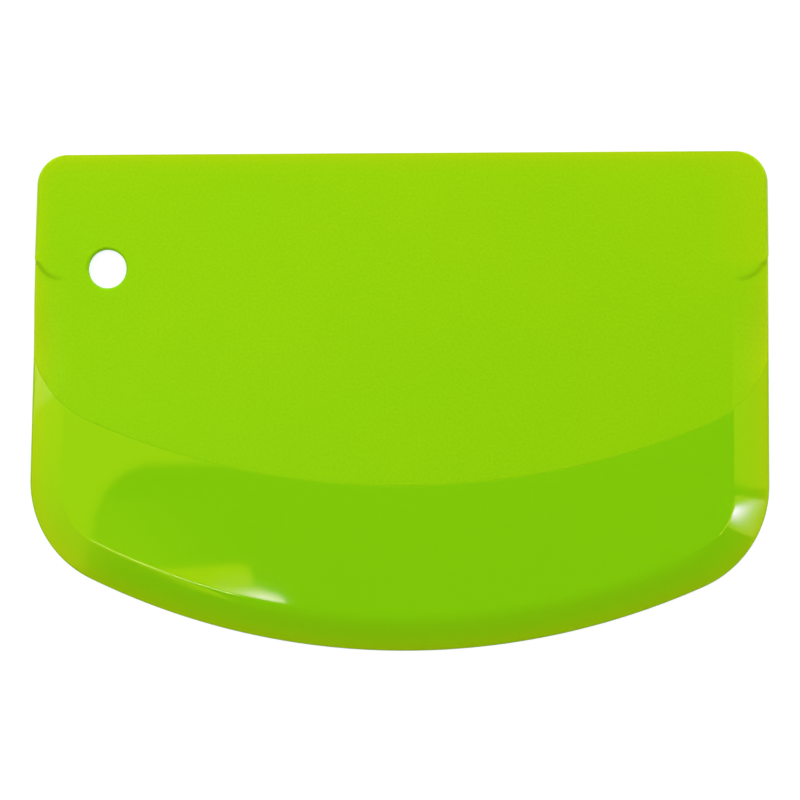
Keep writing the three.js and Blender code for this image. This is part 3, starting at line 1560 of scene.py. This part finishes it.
@dataclass
class Studio:
    """Paper floor and backdrop, a light tent and softboxes beside the camera; sizes in metres."""

    floor_radius: float = 2.5
    floor_drop: float = 0.0001
    floor_sides: int = 64
    wall_height: float = 1.2
    fill: float = 0.06
    floor_paper: StudioPaper = StudioPaper(
        "white_floor_paper", reflectance=0.26, lift=0.83, front_glow=0.5, back_glow=0.5
    )
    wall_paper: StudioPaper = StudioPaper(
        "white_backdrop_paper", reflectance=0.0, lift=1.0, front_glow=0.0, back_glow=3.75
    )
    tent: LightTent = LightTent()
    softboxes: tuple[Softbox, ...] = (
        Softbox(
            "left_softbox",
            centre=(-0.2814, -0.0723),
            half_size=(0.0660, 0.0177),
            cut=0.004,
            turn=6.0,
            light=(3.6, 3.2, 0.8),
            core=Bell((-0.224, -0.065), (0.010, 0.006)),
            core_light=(2.8, 2.2, 78.0),
        ),
        Softbox(
            "left_tail",
            centre=(-0.2140, -0.0668),
            half_size=(0.0185, 0.0055),
            cut=0.0055,
            turn=-22.0,
            light=(3.6, 3.2, 0.8),
            core=Bell((-0.2094, -0.0674), (0.0140, 0.0033), turn=-7.0),
            core_light=(11.5, 8.5, 340.0),
            height=0.998,
        ),
        Softbox(
            "left_strip",
            centre=(-0.288, -0.109),
            half_size=(0.050, 0.016),
            cut=0.005,
            turn=-16.0,
            light=(16.0, 18.0, 170.0),
        ),
        Softbox(
            "left_spill",
            centre=(-0.262, -0.060),
            half_size=(0.045, 0.045),
            cut=0.010,
            light=(0.0, 0.0, 0.0),
            core=Bell((-0.300, -0.055), (0.050, 0.045)),
            core_light=(1.2, 1.2, 0.7),
            height=1.0,
        ),
        Softbox(
            "right_softbox",
            centre=(0.4098, -0.1204),
            half_size=(0.0625, 0.1025),
            cut=0.010,
            turn=27.8,
            light=(3.3, 3.5, 5.0),
            core=Bell((0.4295, -0.127), (0.0085, 0.046), turn=-8.0),
            core_light=(23.0, 18.0, 820.0),
        ),
        Softbox(
            "right_strip",
            centre=(0.315, -0.170),
            half_size=(0.030, 0.085),
            cut=0.005,
            turn=-27.0,
            light=(13.0, 13.0, 30.0),
        ),
        Softbox(
            "side_softbox",
            centre=(-0.844, 0.144),
            half_size=(0.11, 0.11),
            cut=0.065,
            turn=33.0,
            light=(6.0, 6.6, 15.0),
            core=Bell((-0.790, 0.070), (0.05, 0.05)),
            core_light=(1.0, 1.1, 15.0),
        ),
        Softbox(
            "side_spill",
            centre=(-0.800, 0.020),
            half_size=(0.099, 0.060),
            cut=0.010,
            light=(2.9, 2.8, 1.3),
            core=Bell((-0.790, 0.045), (0.080, 0.035)),
            core_light=(0.7, 1.0, 0.0),
        ),
    )

    def build_paper(self) -> None:
        """Lays a round floor just under the scraper's back and a round wall about it."""
        turn = np.linspace(0.0, 2.0 * math.pi, self.floor_sides, endpoint=False)
        ring = self.floor_radius * np.column_stack((np.cos(turn), np.sin(turn)))
        floor = np.column_stack((ring, np.full(len(ring), -self.floor_drop)))
        wall = np.concatenate((floor, floor + np.array((0.0, 0.0, self.wall_height))))
        first = np.arange(len(ring))
        second = np.roll(first, -1)
        quads = np.column_stack((first, first + len(ring), second + len(ring), second))
        for name, points, faces, paper in (
            ("studio_floor", floor, [first.tolist()], self.floor_paper),
            ("studio_wall", wall, quads.tolist(), self.wall_paper),
        ):
            new_object(name, points, faces, paper.material())

    def build_surround(self) -> None:
        """Sets the world to the dim, even light of the room."""
        world = bpy.data.worlds.new("studio_room")
        world.use_nodes = True
        tree = world.node_tree
        tree.nodes.clear()
        light = {"Color": (1.0, 1.0, 1.0, 1.0), "Strength": self.fill}
        room = add_node(tree, "Background", light).outputs["Background"]
        add_node(tree, "OutputWorld", {"Surface": room})
        bpy.context.scene.world = world

    def build(self) -> None:
        """Builds paper, room, tent and softboxes."""
        self.build_paper()
        self.build_surround()
        self.tent.build()
        for softbox in self.softboxes:
            softbox.build()
        LOG.info("studio: tent and %d softboxes", len(self.softboxes))


@dataclass
class StudioCamera:
    """Camera over the scraper at the photograph's viewing angle; metres, degrees, lens in mm."""

    name: str = "studio_camera"
    distance: float = 0.6
    yaw: float = 8.07
    pitch: float = 2.18
    roll: float = 0.636
    lens: float = 135.9
    sensor_width: float = 36.0
    shift_x: float = 0.00669
    shift_y: float = 0.00200

    def build(self) -> None:
        """Places the camera and makes it the scene's own.

        It stands at its distance from the scraper's middle, turned by yaw to the right and by
        pitch towards the blade, with the grip up in the picture.
        """
        yaw, pitch, roll = (math.radians(angle) for angle in (self.yaw, self.pitch, self.roll))
        back = Vector(
            (math.sin(yaw) * math.cos(pitch), -math.sin(pitch), math.cos(yaw) * math.cos(pitch))
        )
        right = Vector((0.0, 1.0, 0.0)).cross(back).normalized()
        level = Matrix((right, back.cross(right), back)).transposed()
        turned = level @ Matrix.Rotation(roll, 3, "Z")
        data = bpy.data.cameras.new(self.name)
        for key in ("lens", "sensor_width", "shift_x", "shift_y"):
            setattr(data, key, getattr(self, key))
        camera = bpy.data.objects.new(self.name, data)
        camera.matrix_world = Matrix.Translation(back * self.distance) @ turned.to_4x4()
        bpy.context.scene.collection.objects.link(camera)
        bpy.context.scene.camera = camera


def main() -> None:
    """Builds camera, studio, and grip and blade."""
    logging.basicConfig(level=logging.INFO, format="%(name)s: %(message)s")
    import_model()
    bpy.context.scene.view_settings.view_transform = "Standard"
    StudioCamera().build()
    Studio().build()
    plan = ScraperPlan.from_frame()
    GripMoulding(plan).build(SparkErodedPolypropylene().material())
    BladeMoulding(plan).build(PolishedPolypropylene().material())


if __name__ == "__main__":
    main()
